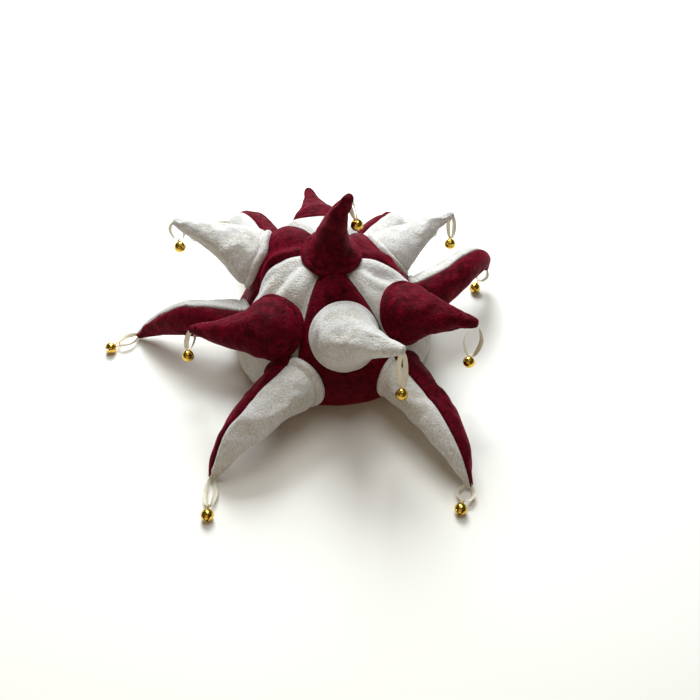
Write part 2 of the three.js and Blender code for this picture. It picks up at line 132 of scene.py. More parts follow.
# Where each stuffed point sits: how far off its panel's middle, the height of its base as a share of the
# crown's, its lean and rise, and its girth. Then its tip: turn, way out and height as shares.
POINTS = {
    "front": (-1, 0.72, 4, 42, 1.07, 27.6, 0.46, 1.01),
    "front_right": (-10, 0.68, -5, 29, 1.0, 63.5, 0.625, 0.81),
    "back_right": (0, 0.68, 8, 4, 0.92, 126.3, 0.675, 0.777),
    "back": (-1, 0.67, -2, -8, 0.95, 190.7, 0.54, 0.71),
    "back_left": (-4, 0.71, 5, 22, 1.0, 249.6, 0.825, 0.934),
    "front_left": (7, 0.69, 6, 30, 1.02, 296.2, 0.54, 0.71),
}

# The same for the horn on the seam after each panel, with its seam's twist and, at the tip, its toe and fall.
HORNS = {
    "front_right": (0.3, -5, 0, -7, 1.0, 35, 1.01, 0.2, -8, 50),
    "right": (0.38, 4, 24, 3, 0.92, 117.7, 0.733, 0.88, 0, 72),
    "back_right": (0.34, -15, 4, 10, 1.0, 156, 0.767, 0.2, -2, 46),
    "back_left": (0.364, -12, 12, 2, 1.0, 213.6, 0.975, 0.2, 7, 40),
    "left": (0.355, -12, 20, 8, 0.96, 269, 0.85, 0.2, 6, 34),
    "front_left": (0.347, -14, 18, -12, 1.08, 328, 0.858, 0.2, -4, 49),
}

# How each ribbon loop hangs or lies from its tip: its span as a share of the strand, its heading, its dip,
# the turn that it opens to, half its width as a share of the strand, and how far its two sides twist.
DROPS = {
    "point_front": (0.995, 90, 88, 50, 0.06, 50, -70),
    "point_front_right": (0.874, 270, 88.6, 75, 0.13, 15, 70),
    "point_back_right": (0.611, 90, 88.4, 35, 0.07, 20, -15),
    "point_back": (0.71, 100, 88, 190, 0.1, 40, -20),
    "point_back_left": (0.48, 270, 90, 260, 0.12, 15, 70),
    "point_front_left": (0.574, 270, 76.8, 300, 0.06, 60, 65),
    "spike_top": (0.641, 146, 73.4, 40, 0.06, 20, 60),
    "horn_front_right": (0.364, 340, 0, 70, 0.12, 50, 60),
    "horn_right": (0.307, 322, 42, 52, 0.1, 30, -30),
    "horn_back_right": (0.518, 88, 0, 178, 0.12, 40, 30),
    "horn_back_left": (0.672, 290, 0, 20, 0.1, 35, -40),
    "horn_left": (0.443, 306, 0, 36, 0.1, 60, 20),
    "horn_front_left": (0.626, 359, 0, 89, 0.07, 60, -60),
}

# One side of a ribbon loop: a share of the way down it, how far apart, and how wide the ribbon is.
LOOP = ((0.12, 0.35, 0.85), (0.5, 1.0, 1.0), (0.86, 0.6, 0.85), (0.975, 0.2, 0.58))

# How a panel swells: its share at the rim, how square it is across, how fast it fills upwards, and how late
# it ends at the top.
PUFF_AT_RIM = 0.35
PUFF_ROUNDNESS = 2.4
PUFF_RISE = 0.6
PUFF_END = 12

# The share of the way up at which the crown is widest, and the degrees of turn that a crease counts for the
# crown's whole height.
WAIST_UP = 0.2
CREASE_SCALE = 70

# Scale and strength of the crown's small swells, and the scales of the coarse and fine lumps in the filling.
CRUMPLES = ((34, 2.0), (90, 0.7))
COARSE_LUMPS = 42
FINE_LUMPS = 95

# How far the faces of a panel are drawn towards its seams, as a share of its width, and the gap between
# two panels.
SEAM_PULL = 0.07
SEAM_GAP = 0.0003

# The hem at the rim: how fast the outline runs there, in metres for a whole share of the way up, and the
# height over which the hem rounds.
OUTLINE_RATE = 0.13
HEM_HEIGHT = 0.004

# The height on the crown's axis that counts as its inside, to tell which way its outer face looks.
INSIDE_HEIGHT = 0.022

# The stretch of a route in which its piece is searched for leaving the crown, and in how many steps.
BASE_SEARCH = (-0.3, 0.45)
BASE_STEPS = 30

# The rolls round the bases: the strength of a plain horn's and the front left one's, and the side at which
# the spike's stands out, how much further, and how wide. Then how far seams and lumps show in a roll.
HORN_ROLL = 0.9
HEAVY_ROLL = 1.7
SPIKE_LUMP = (radians(300), 1.6)
LUMP_WIDTH = 0.6
ROLL_LOOSE = 0.4

# The rings of a stuffed piece's rounded tip, and its length as a share of the tip's radius.
DOME_RINGS = 4
DOME_LENGTH = 0.55

# How far a horn's half runs in below its seams.
TUCK = 0.004

# The bell's slots: how far below its middle they are cut and how far they reach, as shares of its radius.
SLOT_DROP = 0.85
SLOT_REACH = 0.84

# The width of the ridge round the bell, and the room that half a ribbon's thickness takes in a shank.
RIDGE_WIDTH = 0.0005
RIBBON_ROOM = 0.00025

# The cloth simulation that lets the filling push the cloth out.
CLOTH_FRAMES = 20
CLOTH = {
    "quality": 5,
    "mass": 0.2,
    "tension_stiffness": 14,
    "compression_stiffness": 14,
    "shear_stiffness": 6,
    "bending_stiffness": 0.35,
    "use_pressure": True,
    "uniform_pressure_force": 3.0,
    "vertex_group_mass": "held",
}


def length(name, description, default):
    return FloatProperty(name=name, description=description, default=default, unit="LENGTH", precision=5)


def share(name, description, default):
    return FloatProperty(name=name, description=description, default=default, min=0.0, subtype="FACTOR")


def angle(name, description, turn):
    return FloatProperty(name=name, description=description, default=radians(turn), subtype="ANGLE")


def colour(name, description, default):
    limits = {"size": 3, "min": 0, "max": 1, "subtype": "COLOR"}
    return FloatVectorProperty(name=name, description=description, default=default, **limits)


class JesterCrown(bpy.types.PropertyGroup):
    """Sizes of the sewn crown."""

    rim_radius: length("Rim radius", "Outside of the cloth at the rim", 0.097)
    waist_radius: length("Waist radius", "Outside of the cloth at its widest", 0.1)
    waist_height: length("Waist height", "Height of the widest place", 0.022)
    height: length("Height", "From the rim to the top of the crown", 0.121)
    fullness: FloatProperty(name="Fullness", description="2 is an ellipse, more is squarer", default=1.98)
    cloth: length("Cloth", "Thickness of the padded velour and its lining", 0.003)
    puff: length("Puff", "How far a panel swells between its seams", 0.004)
    fold_depth: length("Fold depth", "Depth of the deepest lumps and hollows", 0.01)
    crease_depth: length("Crease depth", "Depth of the finer creases", 0.014)
    seam_twist: angle("Seam twist", "Turn of the seams between rim and top", 8)
    panel_turn: angle("Panel turn", "Turn of the front panel's middle", 11)
    top_hole: length("Top hole", "Radius left open below the spike", 0.008)
    seam_depth: length("Seam depth", "How far the cloth dips into a seam", 0.0022)
    seam_width: length("Seam width", "Half the width of that dip", 0.0032)
    crumple: length("Crumple", "Height of the small uneven swells in the cloth", 0.0011)
    across: IntProperty(name="Faces across", description="Faces across one panel", default=44)
    up: IntProperty(name="Faces up", description="Faces from the rim to the top", default=72)


class JesterStuffing(bpy.types.PropertyGroup):
    """Sizes of the stuffed points, the spike and the horns."""

    point_radius: length("Point radius", "Radius of a stuffed point at its base", 0.029)
    point_length: length("Point length", "Level way from the waist to a point's tip", 0.08)
    spike_radius: length("Spike radius", "Radius of the spike at its base", 0.028)
    spike_height: length("Spike height", "Height of the spike's tip above the crown", 0.078)
    spike_lean: share("Spike lean", "How far its tip leans over, as a share of its height", 0.264)
    spike_turn: angle("Spike turn", "Turn that the spike leans to", 61)
    horn_radius: length("Horn radius", "Radius of a horn at its base", 0.025)
    horn_length: length("Horn length", "Level way from the waist to a horn's tip", 0.12)
    horn_root: share("Horn root", "Share of the way over which a horn keeps its first direction", 0.44)
    horn_end: share("Horn end", "The same at its tip", 0.37)
    base_sink: length("Base sink", "How far a base starts inside the crown", 0.014)
    roll: length("Roll", "How far the sewn roll round a base stands out", 0.0022)
    roll_width: length("Roll width", "Width of that roll", 0.0068)
    seam_depth: length("Seam depth", "How far the cloth dips into a seam", 0.0016)
    seam_width: length("Seam width", "Half the width of that dip", 0.0024)
    lumps: length("Lumps", "Height of the uneven filling under the cloth", 0.001)
    slack: share("Slack", "Extra cloth that the filling has to push out", 0.018)
    swell_limit: length("Swell limit", "How far the filling may push the cloth", 0.0013)
    sides: IntProperty(name="Sides", description="Faces round a stuffed piece", default=48)
    rings: IntProperty(name="Rings", description="Rings from the base to the tip", default=44)


class JesterTrim(bpy.types.PropertyGroup):
    """Sizes of the ribbons and the bells."""

    ribbon_width: length("Ribbon width", "Width of the satin ribbon", 0.005)
    ribbon_thick: length("Ribbon thickness", "Thickness of the satin ribbon", 0.0004)
    strand: length("Strand", "From a tip to the foot of its loop", 0.052)
    sewn: length("Sewn in", "How far the ribbon's ends run back into a tip", 0.0025)
    gap: length("Gap", "Between a ribbon and its shank", 0.0006)
    ends: length("Ends", "Half the distance between the ends in a tip", 0.0009)
    bell_radius: length("Bell radius", "Outside of the bell", 0.0058)
    bell_wall: length("Bell wall", "Thickness of its sheet metal", 0.0006)
    bell_slot: length("Slot", "Width of the two slots", 0.0013)
    bell_hole: length("Hole", "Radius of the round end of a slot", 0.0012)
    bell_ridge: length("Ridge", "Height of the ridge where the two halves meet", 0.00022)
    shank_radius: length("Shank radius", "Middle of the wire shank", 0.0025)
    shank_wire: length("Shank wire", "Radius of the wire", 0.00045)


class JesterColours(bpy.types.PropertyGroup):
    """Colours of the cloth and the trim."""

    # The light maroon is partly painted sheen and the deep maroon partly painted shade, besides the pile's
    # real crush mottle.
    maroon: colour("Maroon", "Maroon velour where the pile stands", (0.2, 0.0012, 0.014))
    maroon_deep_and_painted_shade: colour("Deep maroon", "Maroon velour where the pile lies away", (0.003, 0.0002, 0.0004))
    # The tan of the deep white is partly painted shade, besides the real tone between the tufts.
    white: colour("White", "White plush on its pile's tips", (0.74, 0.76, 0.79))
    white_deep_and_painted_shade: colour("Deep white", "White plush between the tufts", (0.46, 0.39, 0.27))
    satin: colour("Satin", "Cream satin ribbon", (0.86, 0.79, 0.6))
    lining: colour("Lining", "Plain lining inside the crown", (0.7, 0.68, 0.63))
    gold: colour("Gold", "Polished gold of the bells", (0.83, 0.53, 0.09))
    floor: colour("Floor", "Plain pale floor", (0.9, 0.87, 0.79))


class JesterStage(bpy.types.PropertyGroup):
    """The camera and the lights."""

    aim: FloatVectorProperty(
        name="Aim",
        description="Where the camera looks",
        default=(0.0184, -0.0484, 0.04),
        subtype="XYZ",
        unit="LENGTH",
    )
    distance: length("Distance", "From the camera to there", 0.9)
    elevation: angle("Elevation", "How far the camera looks down", 48.5)
    lens: FloatProperty(name="Lens", description="Focal length", default=47.29, unit="CAMERA")
    key: FloatProperty(name="Key light", description="Soft light from behind", default=40.0, unit="POWER")
    fill: FloatProperty(name="Fill light", description="Warm light from the front", default=2.3, unit="POWER")
    sky: FloatProperty(name="Sky", description="Even light from all round", default=0.08)


# Shared geometry


def settings(scene, *names):
    """The named groups of settings as plain values, which are quicker to read many times."""
    for group in (getattr(scene, "jester_" + name) for name in names):
        yield SimpleNamespace(**{name: getattr(group, name) for name in group.__annotations__})


def around(radius, turn, height):
    """A point at a radius from the crown's axis, at a turn in degrees and a height."""
    return Vector((radius * sin(radians(turn)), -radius * cos(radians(turn)), height))


def heading(turn, pitch):
    """A unit vector with a heading round the axis and a pitch above the horizon."""
    level = around(cos(radians(pitch)), turn, 0)
    level.z = sin(radians(pitch))
    return level


def between(value, low, high):
    return max(low, min(high, value))


def bump(off, width):
    return exp(-((off / width) ** 2))


def turned_off(turn, other):
    """How far one turn is from another, from -180 to 180."""
    return (turn - other + 180) % 360 - 180


def outline(crown, up):
    """Radius and height of the crown's outline at a share of the way from the rim to the top."""
    if up <= WAIST_UP:
        rise = up / WAIST_UP
        widening = (crown.waist_radius - crown.rim_radius) * sin(rise * pi / 2)
        return crown.rim_radius + widening, crown.waist_height * rise
    round_to = (up - WAIST_UP) / (1 - WAIST_UP) * pi / 2
    power = 2 / crown.fullness
    return (
        max(crown.waist_radius * max(cos(round_to), 0) ** power, crown.top_hole),
        crown.waist_height + (crown.height - crown.waist_height) * sin(round_to) ** power,
    )


def outwards(crown, up):
    """The outward direction of the outline there, as a part outwards and a part upwards."""
    if up <= 0:
        return 1.0, 0.0
    if up >= 1:
        return 0.0, 1.0
    low, high = outline(crown, max(up - 0.02, 0)), outline(crown, min(up + 0.02, 1))
    way = hypot(high[1] - low[1], high[0] - low[0])
    return (high[1] - low[1]) / way, (low[0] - high[0]) / way


def crease(turn, height, row):
    """How strongly a point of the crown lies on a crease, which runs straight between its two ends."""
    turn_a, height_a, turn_b, height_b, width, swell = row
    run = Vector((turned_off(turn_b, turn_a), (height_b - height_a) * CREASE_SCALE))
    here = Vector((turned_off(turn, turn_a), (height - height_a) * CREASE_SCALE))
    along = between(here.dot(run) / run.length_squared, 0, 1)
    return swell * bump((here - run * along).length, width) * sin(pi * (0.1 + 0.8 * along))


def swelling(crown, turn, up, across):
    """How far the cloth stands off the plain outline. across runs from 0 to 1 between two seams."""
    full = 1 - abs(2 * across - 1) ** PUFF_ROUNDNESS
    upright = PUFF_AT_RIM + (1 - PUFF_AT_RIM) * sin(pi * between(up, 0, 1)) ** PUFF_RISE
    height = outline(crown, up)[1] / crown.height
    folds = 0
    for at, high, wide, tall, swell in CROWN_FOLDS:
        folds += swell * bump(turned_off(turn, at), wide) * bump(height - high, tall)
    return (crown.puff * full * upright + crown.fold_depth * folds) * (1 - up**PUFF_END)


def crown_point(crown, panels, up, off=0.0, fine=False):
    """A point of the crown, off outside its cloth. panels counts from the seam before the front panel."""
    turn = degrees(crown.panel_turn) + (panels - 0.5) * PANEL_ARC - degrees(crown.seam_twist) * up**2
    stand = swelling(crown, turn, up, panels - int(panels)) + off
    radius, height = outline(crown, up)
    out, rise = outwards(crown, up)
    if fine:
        creases = sum(crease(turn, height / crown.height, row) for row in CROWN_CREASES)
        stand += crown.crease_depth * creases * (1 - up**PUFF_END)
        spot = around(radius, turn, height)
        stand += crown.crumple * sum(strength * noise.noise(spot * scale) for scale, strength in CRUMPLES)
    lifted = 0 if up <= 0 else height + rise * stand
    return around(max(radius + out * stand, crown.top_hole / 2), turn, lifted)


def crown_spot(crown, turn, height, off):
    """A point of the crown at a turn and near a height."""
    low, high = 0.0, 1.0
    while high - low > 1e-4:
        middle = (low + high) / 2
        if outline(crown, middle)[1] < height:
            low = middle
        else:
            high = middle
    turned = turn - degrees(crown.panel_turn) + degrees(crown.seam_twist) * low**2
    return crown_point(crown, turned / PANEL_ARC + 0.5, low, off)


class Route:
    """A curve that is walked by its own length and runs on straight beyond its ends."""

    STEPS = 160

    def __init__(self, spot):
        self.spots = [spot(i / self.STEPS) for i in range(self.STEPS + 1)]
        self.walked = [0.0]
        for a, b in zip(self.spots, self.spots[1:]):
            self.walked.append(self.walked[-1] + (b - a).length)
        self.length = self.walked[-1]

    def step(self, along):
        """The number of the step that holds a share of the length, and the share of that step."""
        goal = between(along, 0, 1) * self.length
        low, high = 0, self.STEPS
        while high - low > 1:
            middle = (low + high) // 2
            if self.walked[middle] <= goal:
                low = middle
            else:
                high = middle
        return low, (goal - self.walked[low]) / (self.walked[low + 1] - self.walked[low])

    def ahead(self, along):
        number, part = self.step(along)
        here = self.spots[number + 1] - self.spots[number]
        near = number + (1 if part > 0.5 else -1)
        if not 0 <= near < self.STEPS:
            return here.normalized()
        other = self.spots[near + 1] - self.spots[near]
        return here.normalized().lerp(other.normalized(), abs(part - 0.5)).normalized()

    def at(self, along):
        number, part = self.step(along)
        spot = self.spots[number].lerp(self.spots[number + 1], part)
        return spot + self.ahead(along) * (along - between(along, 0, 1)) * self.length

    def axes(self, along):
        """A place along the route, and the directions ahead, to the side and over it there."""
        ahead = self.ahead(along)
        side = ahead.cross(UP).normalized()
        return self.at(along), ahead, side, side.cross(ahead)


def bent(base, bend, tip):
    return Route(lambda t: base * (1 - t) ** 2 + bend * 2 * t * (1 - t) + tip * t**2)


def swept(base, first, second, tip):
    def spot(t):
        return base * (1 - t) ** 3 + first * 3 * t * (1 - t) ** 2 + second * 3 * t**2 * (1 - t) + tip * t**3

    return Route(spot)


def point_route(crown, stuffing, name):
    shift, height, lean, rise, _, tip_turn, out, up = POINTS[name]
    turn = degrees(crown.panel_turn) + PANELS.index(name) * PANEL_ARC + shift
    base = crown_spot(crown, turn, height * crown.height, -stuffing.base_sink / 2)
    tip = around(crown.waist_radius + out * stuffing.point_length, tip_turn, up * crown.height)
    return bent(base, base + heading(turn + lean, rise) * (tip - base).length / 2, tip)


def spike_route(crown, stuffing):
    base = Vector((0, 0, crown.height - stuffing.base_sink / 2))
    out = stuffing.spike_height * stuffing.spike_lean
    tip = around(out, degrees(stuffing.spike_turn), crown.height + stuffing.spike_height)
    return bent(base, base + UP * (tip - base).length / 2, tip)


def horn_route(crown, stuffing, name):
    height, lean, rise, _, _, tip_turn, out, up, toe, fall = HORNS[name]
    turn = degrees(crown.panel_turn) + (list(HORNS).index(name) + 0.5) * PANEL_ARC
    base = crown_spot(crown, turn, height * crown.height, -stuffing.base_sink / 2)
    tip = around(crown.waist_radius + out * stuffing.horn_length, tip_turn, up * stuffing.horn_radius)
    reach = (tip - base).length
    first = base + heading(turn + lean, rise) * reach * stuffing.horn_root
    return swept(base, first, tip - heading(tip_turn + toe, -fall) * reach * stuffing.horn_end, tip)


def tip_route(crown, stuffing, name):
    """The route of the stuffed piece that a ribbon hangs from."""
    if name == "spike_top":
        return spike_route(crown, stuffing)
    kind, place = name.split("_", 1)
    return (point_route if kind == "point" else horn_route)(crown, stuffing, place)


def smooth_size(sections, along):
    """A section's size between the rows of a table, without corners."""
    last = len(sections) - 1
    number = 0
    while number < last - 1 and sections[number + 1][0] < along:
        number += 1
    (x0, y0), (x1, y1) = sections[number], sections[number + 1]
    before, after = sections[max(number - 1, 0)], sections[min(number + 2, last)]
    slope_0 = (y1 - before[1]) / (x1 - before[0])
    slope_1 = (after[1] - y0) / (after[0] - x0)
    t = between((along - x0) / (x1 - x0), 0, 1)
    run = x1 - x0
    return (
        y0 * (2 * t**3 - 3 * t**2 + 1)
        + run * slope_0 * (t**3 - 2 * t**2 + t)
        + y1 * (3 * t**2 - 2 * t**3)
        + run * slope_1 * (t**3 - t**2)
    )


# Making meshes


def object_of(name, bm):
    """A bmesh as an object in the scene."""
    mesh = bpy.data.meshes.new(name)
    bm.to_mesh(mesh)
    made = bpy.data.objects.new(name, mesh)
    bpy.context.scene.collection.objects.link(made)
    return made


def dropped(scratch):
    """Removes a scratch object and its mesh."""
    mesh = scratch.data
    bpy.data.objects.remove(scratch)
    bpy.data.meshes.remove(mesh)


def finish_mesh(name, bm, node, slot, *inner):
    """A bmesh as a smooth, finished piece that stands for a node of the frame."""
    piece = object_of(name, bm)
    bm.free()
    piece.data.shade_smooth()
    for key in (slot, *inner):
        piece.data.materials.append(look(key))
    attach(piece, "root")
    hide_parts(node)
    return piece


def modifier(piece, kind, **values):
    made = piece.modifiers.new(kind.title(), kind)
    for name, value in values.items():
        setattr(made, name, value)


def rounded(piece):
    modifier(piece, "SUBSURF", levels=1, render_levels=1)


def grid(columns, rows, place, with_uv=False):
    """A sheet of faces, each corner moved by its shares across and up."""
    bm = bmesh.new()
    if with_uv:
        bm.loops.layers.uv.new("UVMap")
    bmesh.ops.create_grid(bm, x_segments=columns, y_segments=rows, size=0.5, calc_uvs=with_uv)
    for v in bm.verts:
        v.co = place(v.co.x + 0.5, v.co.y + 0.5)
    return bm


def tube(rings, sides, place):
    """A closed tube, each corner moved by the numbers of its ring and its side. Corners keep their ring's
    number, and faces the half that they are in, 1 or -1."""
    bm = bmesh.new()
    bmesh.ops.create_cone(bm, cap_ends=True, cap_tris=False, segments=sides, radius1=1, radius2=1, depth=1)
    rails = [e for e in bm.edges if abs(e.verts[0].co.z - e.verts[1].co.z) > 0.5]
    bmesh.ops.subdivide_edges(bm, edges=rails, cuts=rings - 1, use_grid_fill=True)
    half, number = bm.faces.layers.int.new("half"), bm.verts.layers.int.new("ring")
    for face in bm.faces:
        face[half] = 1 if face.calc_center_median().y > 0 else -1
    for v in bm.verts:
        side = round(atan2(v.co.y, v.co.x) / tau * sides) % sides
        v[number] = round((v.co.z + 0.5) * rings)
        v.co = place(v[number], side)
    bmesh.ops.recalc_face_normals(bm, faces=bm.faces)
    return bm


def crown_tree(crown):
    """The crown's outer face, to find where a base meets it."""
    columns, rows = 36 * len(PANELS), 48
    bm = grid(columns, rows, lambda x, y: crown_point(crown, min(x, 1 - EDGE) * len(PANELS), y))
    bmesh.ops.recalc_face_normals(bm, faces=bm.faces)
    tree = BVHTree.FromBMesh(bm)
    bm.free()
    return tree


def above_crown(tree, spot):
    """How far a point is outside the crown, negative inside it."""
    near, normal, _, distance = tree.find_nearest(spot)
    outside = (spot - near).dot(normal)
    from_inside = Vector((near.x, near.y, max(near.z - INSIDE_HEIGHT, 0)))
    return distance if outside * normal.dot(from_inside) > 0 else -distance


def cone_frame(route, sections, radius, along, side_angle, grow=0.0):
    """A point on a stuffed piece, grown by a height."""
    at, _, side, over = route.axes(along)
    reach = radius * smooth_size(sections, along) + grow
    return at + (over * cos(side_angle) + side * sin(side_angle)) * reach


def base_shares(tree, route, sections, radius, sides, twist):
    """For each side, the share of the route at which the piece leaves the crown."""
    low, high = BASE_SEARCH
    step = (high - low) / BASE_STEPS
    found = []
    for number in range(sides):
        angle = tau * number / sides + twist
        last = above_crown(tree, cone_frame(route, sections, radius, high, angle))
        at = low
        for k in range(BASE_STEPS):
            along = high - (high - low) * (k + 1) / BASE_STEPS
            here = above_crown(tree, cone_frame(route, sections, radius, along, angle))
            if here <= 0:
                at = along + step * (-here) / max(last - here, TINY)
                break
            last = here
        found.append(at)
    for _ in range(2):
        found = [(found[i - 1] + 2 * found[i] + found[(i + 1) % sides]) / 4 for i in range(sides)]
    return found


# The sewn roll round a base: the way along the cloth as a share of the roll's width, and its height as a
# share of the roll's. The last row is the crease where the piece was turned and sewn.
ROLL = (
    *((-0.5, -0.9), (0.0, 0.15), (0.22, 0.8), (0.5, 1.0)),
    *((0.78, 0.72), (0.97, -0.35), (1.08, -0.5), (1.25, 0.05)),
)


def stuffed(tree, route, sections, radius, stuffing, seed, twist=0.0, seams=(pi,), roll=1.0, lump=(0.0, 0.0)):
    """A stuffed piece with a sewn roll at its base, dips at its seams and a rounded tip. The lump is a side
    of the roll that stands out, as an angle and how much further."""
    sides, rings = stuffing.sides, stuffing.rings
    bases = base_shares(tree, route, sections, radius, sides, twist)
    body = rings - len(ROLL) - DOME_RINGS
    width = stuffing.roll_width * (0.6 + 0.4 * roll) / route.length

    def place(ring, number):
        angle = tau * number / sides
        if ring >= rings - DOME_RINGS:
            rise = (ring - rings + DOME_RINGS + 1) / (DOME_RINGS + 1) * pi / 2
            end = radius * sections[-1][1]
            at, ahead, side, over = route.axes(1.0)
            out = (over * cos(angle + twist) + side * sin(angle + twist)) * end * cos(rise * 0.97)
            return at + out + ahead * end * DOME_LENGTH * sin(rise)
        if ring < len(ROLL):
            along = bases[number] + ROLL[ring][0] * width
            apart = (angle - lump[0] + pi) % tau - pi
            grow = stuffing.roll * ROLL[ring][1] * roll * (1 + lump[1] * bump(apart, LUMP_WIDTH))
            loose = ROLL_LOOSE
        else:
            start = bases[number] + ROLL[-1][0] * width
            along = start + (1 - start) * between((ring - len(ROLL) + 1) / body, 0, 1)
            grow = 0.0
            loose = 1.0
        reach = radius * smooth_size(sections, along)
        for seam in seams:
            off = abs((angle - seam + pi) % tau - pi) * reach
            grow -= stuffing.seam_depth * bump(off, stuffing.seam_width) * loose
        spot = cone_frame(route, sections, radius, along, angle + twist, grow)
        coarse = noise.noise(spot * COARSE_LUMPS + Vector((seed, 0, 0)))
        lumps = coarse + 0.5 * noise.noise(spot * FINE_LUMPS + Vector((0, seed, 0)))
        grow += stuffing.lumps * lumps * loose
        return cone_frame(route, sections, radius, along, angle + twist, grow)

    return tube(rings, sides, place)


def pushed_out(bm, name, stuffing):
    """Lets the filling push the slack cloth out, as a cloth simulation, and keeps the result in the mesh. The
    base, the roll and the tip are held."""
    scene = bpy.context.scene
    body = object_of(name + "_cloth", bm)
    ring = bm.verts.layers.int["ring"]
    free = range(len(ROLL) + 1, stuffing.rings - DOME_RINGS - 1)
    held = body.vertex_groups.new(name=CLOTH["vertex_group_mass"])
    held.add([i for i, v in enumerate(bm.verts) if v[ring] not in free], 1.0, "REPLACE")
    cloth = body.modifiers.new("Cloth", "CLOTH")
    for setting, value in CLOTH.items():
        setattr(cloth.settings, setting, value)
    cloth.settings.shrink_min = -stuffing.slack
    cloth.settings.effector_weights.gravity = 0
    cloth.collision_settings.use_collision = False
    for number in range(CLOTH_FRAMES):
        scene.frame_set(number + 1)
    shaped = body.evaluated_get(bpy.context.evaluated_depsgraph_get())
    for v, moved in zip(bm.verts, shaped.data.vertices):
        move = moved.co - v.co
        v.co += move * min(1.0, stuffing.swell_limit / max(move.length, TINY))
    scene.frame_set(1)
    dropped(body)
    return bm


# Materials


def grouped(name, inputs, outputs):
    """A new shader node group with named sockets. Each input is a name, a kind and a default."""
    group = bpy.data.node_groups.new(name, "ShaderNodeTree")
    for label, kind, default in inputs:
        socket = group.interface.new_socket(name=label, in_out="INPUT", socket_type=kind)
        if default is not None:
            socket.default_value = default
    for label, kind in outputs:
        group.interface.new_socket(name=label, in_out="OUTPUT", socket_type=kind)
    return group, group.nodes.new("NodeGroupInput").outputs, group.nodes.new("NodeGroupOutput").inputs


def feed(tree, made, sources):
    """Links each of these input sockets of a node, or gives it a plain value."""
    for socket, source in sources.items():
        if isinstance(source, bpy.types.NodeSocket):
            tree.links.new(source, made.inputs[socket])
        else:
            made.inputs[socket].default_value = source


def node(tree, kind, sources=None, **values):
    """A new node with its values set and its inputs fed."""
    made = tree.nodes.new("ShaderNode" + kind)
    for name, value in values.items():
        setattr(made, name, value)
    feed(tree, made, sources or {})
    return made


def speckled(tree, vector, scale, detail, roughness, distortion=0.0):
    given = dict(Vector=vector, Scale=scale, Detail=detail, Roughness=roughness, Distortion=distortion)
    return node(tree, "TexNoise", given).outputs[0]


def worked(tree, operation, *numbers):
    """The result of a sum on numbers or sockets."""
    return node(tree, "Math", dict(enumerate(numbers)), operation=operation).outputs[0]


def mapped(tree, value, low, high, to_low, to_high):
    return node(tree, "MapRange", {0: value, 1: low, 2: high, 3: to_low, 4: to_high}).outputs[0]


def pile_group(name):
    """Crushed pile: a mask of how the pile lies, which in the velour also places painted sheen and painted
    shade, and the height of its tufts.
    """
    inputs = [
        ("Vector", "NodeSocketVector", None),
        ("Crush scale", "NodeSocketFloat", 70.0),
        ("Tuft scale", "NodeSocketFloat", 620.0),
        ("Contrast", "NodeSocketFloat", 0.5),
    ]
    outputs = [(label, "NodeSocketFloat") for label in ("Lie and painted light", "Tufts", "Height")]
    group, given, out = grouped(name, inputs, outputs)
    patches = speckled(group, given["Vector"], given["Crush scale"], 4.0, 0.66, 0.3)
    stroke = {0: given["Vector"], 1: (1.0, 1.0, 0.55)}
    stroked = node(group, "VectorMath", stroke, operation="MULTIPLY").outputs[0]
    tuft = speckled(group, stroked, given["Tuft scale"], 2.0, 0.6)
    cells = node(group, "TexVoronoi", {"Vector": stroked, "Scale": given["Tuft scale"], "Randomness": 1.0})
    crush = mapped(group, patches, 0.36, 0.7, 0.0, 1.0)
    tufts = mapped(group, tuft, 0.3, 0.7, 0.0, 1.0)
    lie = node(group, "Mix", {0: given["Contrast"], 2: crush, 3: tufts}, data_type="FLOAT").outputs[0]
    standing = worked(group, "SUBTRACT", tufts, worked(group, "MULTIPLY", cells.outputs[0], 0.35))
    height = worked(group, "MULTIPLY_ADD", crush, 1.6, standing)
    for label, value in (("Lie and painted light", lie), ("Tufts", tufts), ("Height", height)):
        group.links.new(value, out[label])
    return group


def wear_group(name):
    """Soft uneven use: a mask of rubbed and dusty places."""
    inputs = [
        ("Vector", "NodeSocketVector", None),
        ("Scale", "NodeSocketFloat", 22.0),
        ("Amount", "NodeSocketFloat", 0.5),
    ]
    group, given, out = grouped(name, inputs, [("Mask", "NodeSocketFloat")])
    patches = speckled(group, given["Vector"], given["Scale"], 3.0, 0.55)
    mask = mapped(group, patches, 0.42, 0.7, 0.0, 1.0)
    group.links.new(worked(group, "MULTIPLY", mask, given["Amount"]), out["Mask"])
    return group


PATTERNS = {"Crushed pile": pile_group, "Rubbed places": wear_group}


def used(tree, name, sources):
    """The outputs of a pattern in a material. The pattern's group is made on its first use."""
    made = tree.nodes.new("ShaderNodeGroup")
    made.node_tree = bpy.data.node_groups.get(name) or PATTERNS[name](name)
    feed(tree, made, sources)
    return made.outputs


def rubbed_places(tree, coordinates, amount, scale=22.0):
    return used(tree, "Rubbed places", {"Vector": coordinates, "Scale": scale, "Amount": amount})["Mask"]


def blank(name):
    """A new material with its shader, and the Object coordinates that its patterns read."""
    material = bpy.data.materials.new(name)
    material.use_nodes = True
    tree = material.node_tree
    tree.nodes.clear()
    shader = tree.nodes.new("ShaderNodeBsdfPrincipled")
    output = tree.nodes.new("ShaderNodeOutputMaterial")
    tree.links.new(shader.outputs[0], output.inputs[0])
    return material, tree, shader, node(tree, "TexCoord").outputs["Object"]


def mixed(tree, mask, low, high):
    """A colour between two others. Either can be a socket or a plain colour."""
    ends = (end if isinstance(end, bpy.types.NodeSocket) else (*end, 1.0) for end in (low, high))
    return node(tree, "Mix", dict(zip((0, 6, 7), (mask, *ends))), data_type="RGBA").outputs[2]


def darker(colour, share):
    return [part * share for part in colour]


def raised(tree, shader, height, strength, distance):
    bumped = node(tree, "Bump", {"Height": height, "Strength": strength, "Distance": distance})
    tree.links.new(bumped.outputs[0], shader.inputs["Normal"])


